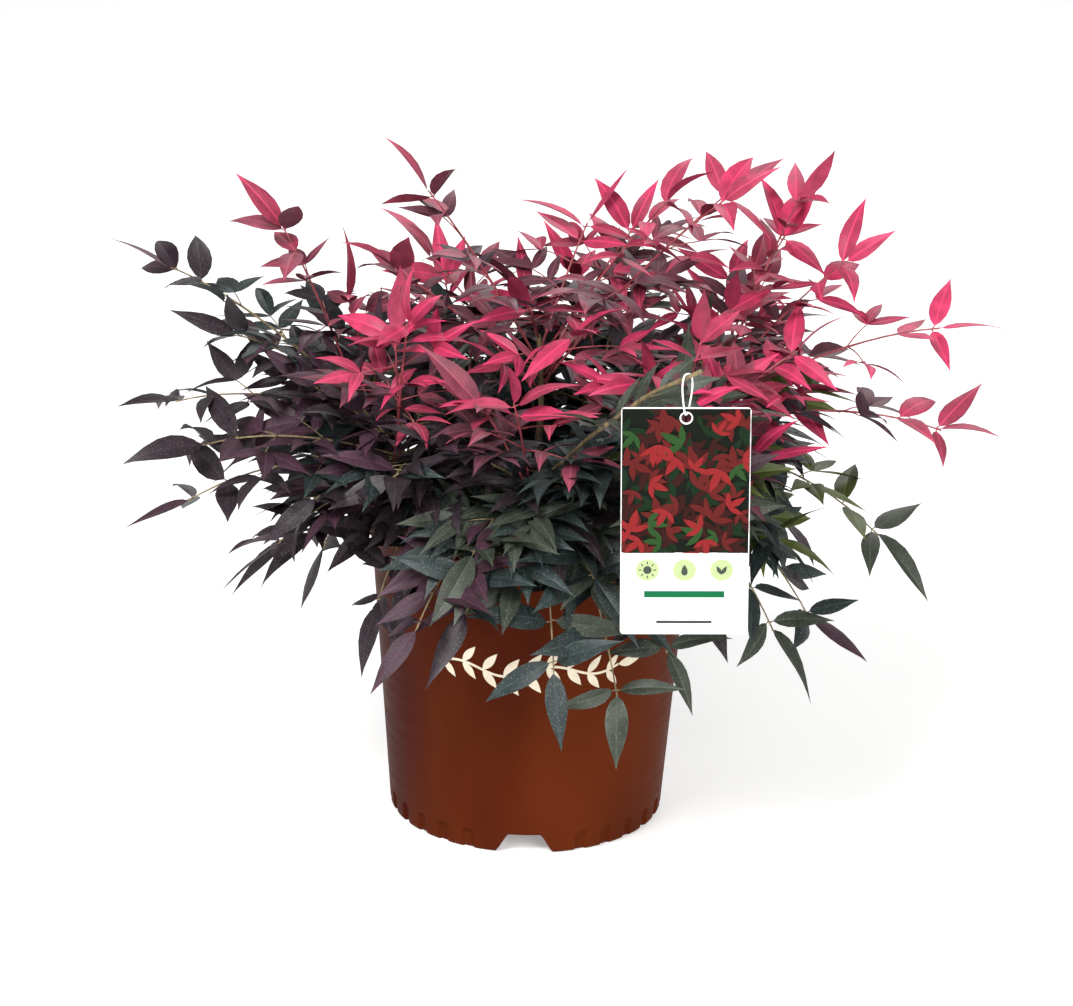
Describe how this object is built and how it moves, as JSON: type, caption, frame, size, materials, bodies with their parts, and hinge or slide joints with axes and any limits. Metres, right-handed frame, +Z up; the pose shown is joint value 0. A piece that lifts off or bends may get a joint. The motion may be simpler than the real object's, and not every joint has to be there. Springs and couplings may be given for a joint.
{
  "type": "potted heavenly bamboo",
  "caption": "Dwarf heavenly bamboo with crimson, plum and dark green leaves, in a tapered round plastic nursery pot with foot notches, a hanging label on its loop.",
  "frame": {"origin": "centre of the pot's underside, on the ground the pot stands on", "axes": "+Z up along the pot's axis; -Y towards the front, where the label hangs; +X to the right, along the crown's widest way"},
  "size_m": [0.6319, 0.4433, 0.5024],
  "materials": {
    "pot_plastic": "satin moulded, terracotta brown",
    "potting_mix": "loose bark and peat",
    "bark": "rough",
    "leaf_crimson": "satin leaf",
    "leaf_plum": "satin leaf",
    "label_plastic": "printed sheet",
    "loop_plastic": "smooth"
  },
  "bodies": {
    "root": {"pot": "pot_plastic", "soil": "potting_mix", "cane_middle": "bark", "cane_side_1": "bark", "cane_side_2": "bark", "cane_side_3": "bark", "cane_side_4": "bark", "cane_side_5": "bark", "cane_side_6": "bark", "cane_side_7": "bark", "leaves_middle": "leaf_crimson", "leaves_side_1": "leaf_plum", "leaves_side_2": "leaf_plum", "leaves_side_3": "leaf_plum", "leaves_side_4": "leaf_plum", "leaves_side_5": "leaf_plum", "leaves_side_6": "leaf_plum", "leaves_side_7": "leaf_plum", "label": "label_plastic", "label_loop": "loop_plastic"}
  },
  "joints": []
}
